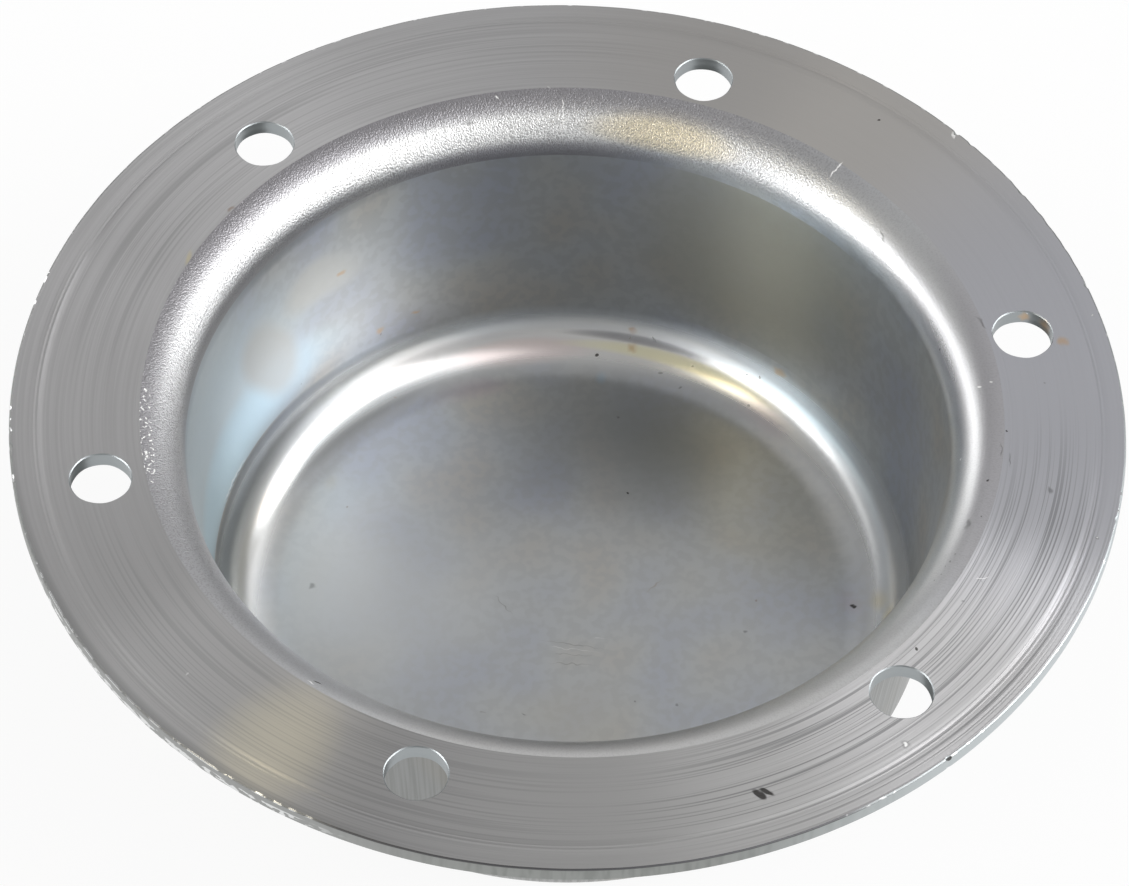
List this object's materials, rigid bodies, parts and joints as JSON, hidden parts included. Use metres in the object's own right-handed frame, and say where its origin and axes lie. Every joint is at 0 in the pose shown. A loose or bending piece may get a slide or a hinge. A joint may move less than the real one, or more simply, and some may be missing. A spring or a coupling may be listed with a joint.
{
  "type": "hub grease cap",
  "caption": "Pressed steel cap that closes the outer end of a wheel hub and keeps its grease in: a drafted cup with a flat, turned bolting flange.",
  "frame": {"origin": "centre of the bolt circle on the turned sealing face of the flange", "axes": "+Z out of the mouth of the cup, square to the sealing face; +X through a bolt hole; the closed end of the cup is at the lowest Z"},
  "size_m": [0.165, 0.165, 0.0509],
  "materials": {
    "zinc_plated_steel": "zinc plated pressing with a satin surface and faint passivation tints; the flange's sealing face is turned bright after plating"
  },
  "bodies": {
    "root": {"grease_cap": "zinc_plated_steel"}
  },
  "joints": []
}
